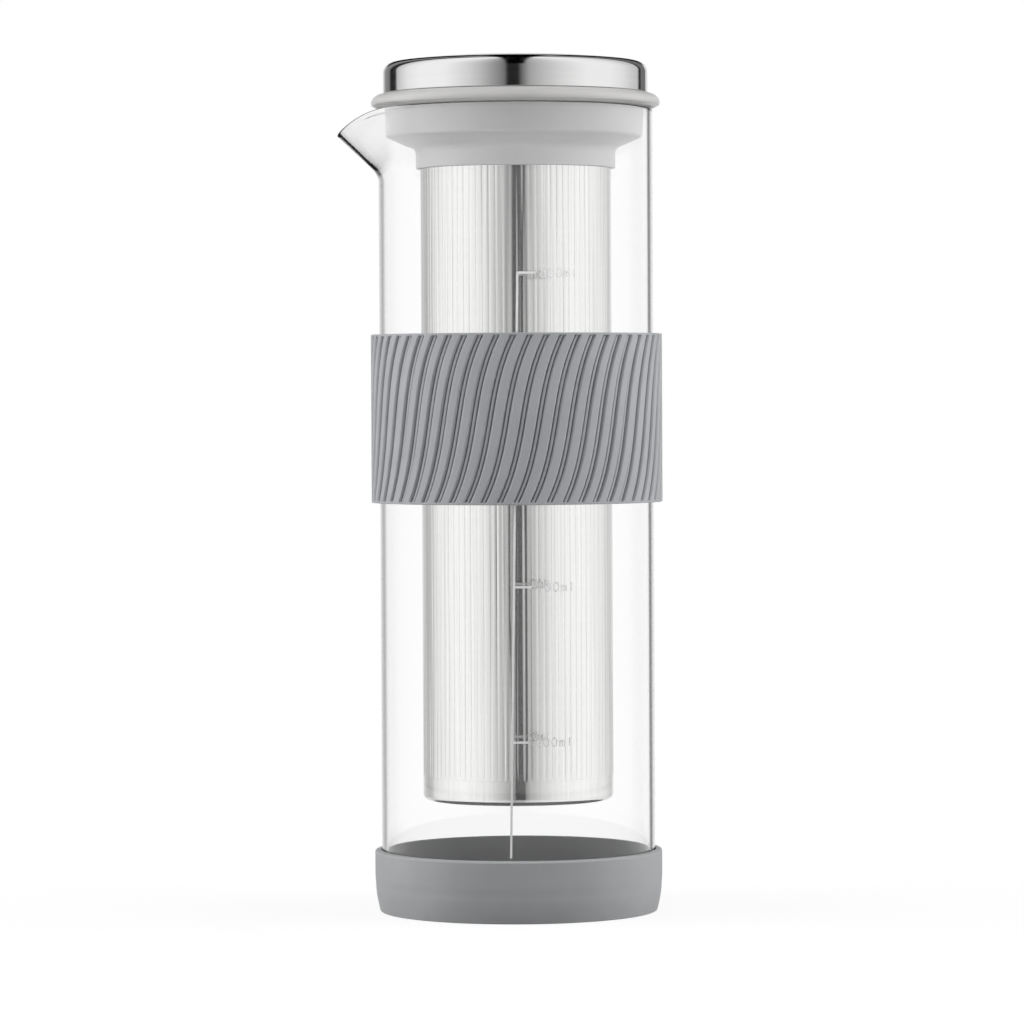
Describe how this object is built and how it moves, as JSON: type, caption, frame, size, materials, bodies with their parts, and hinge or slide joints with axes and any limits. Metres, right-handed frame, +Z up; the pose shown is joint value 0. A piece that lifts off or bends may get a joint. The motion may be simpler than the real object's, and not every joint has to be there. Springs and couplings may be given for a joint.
{
  "type": "cold brew coffee maker",
  "caption": "Glass cold brew carafe with a poured spout, silicone grip sleeve and base boot, a lift-out steel filter basket hung from a collar, and a push-on steel lid with a gently crowned top.",
  "frame": {"origin": "centre of the flat underside of the base boot, on the surface that the maker stands on", "axes": "+Z up along the axis of the glass and of the filter; -X towards the pouring spout; Y across it"},
  "size_m": [0.0934, 0.084, 0.2467],
  "materials": {
    "carafe_glass": "clear, fire-polished",
    "boot_silicone": "matte moulded silicone",
    "sleeve_silicone": "matte moulded silicone",
    "filter_steel": "satin stainless steel, finely perforated",
    "collar_plastic": "satin moulded plastic",
    "seal_silicone": "matte moulded silicone",
    "lid_steel": "polished stainless steel",
    "liner_plastic": "satin moulded plastic"
  },
  "bodies": {
    "carafe": {"carafe_glass": "carafe_glass", "base_boot": "boot_silicone", "grip_sleeve": "sleeve_silicone"},
    "filter": {"filter_tube": "filter_steel", "filter_bottom_cup": "filter_steel", "filter_top_ring": "filter_steel", "filter_collar": "collar_plastic", "collar_seal_ring": "seal_silicone"},
    "lid": {"lid_cap": "lid_steel", "lid_liner": "liner_plastic", "lid_seal": "seal_silicone"}
  },
  "joints": [
    {"name": "filter_lift", "type": "slide", "parent": "carafe", "child": "filter", "axis": [0, 0, 1], "range_m": [0, 0.21]},
    {"name": "lid_lift", "type": "slide", "parent": "filter", "child": "lid", "axis": [0, 0, 1], "range_m": [0, 0.05]}
  ]
}
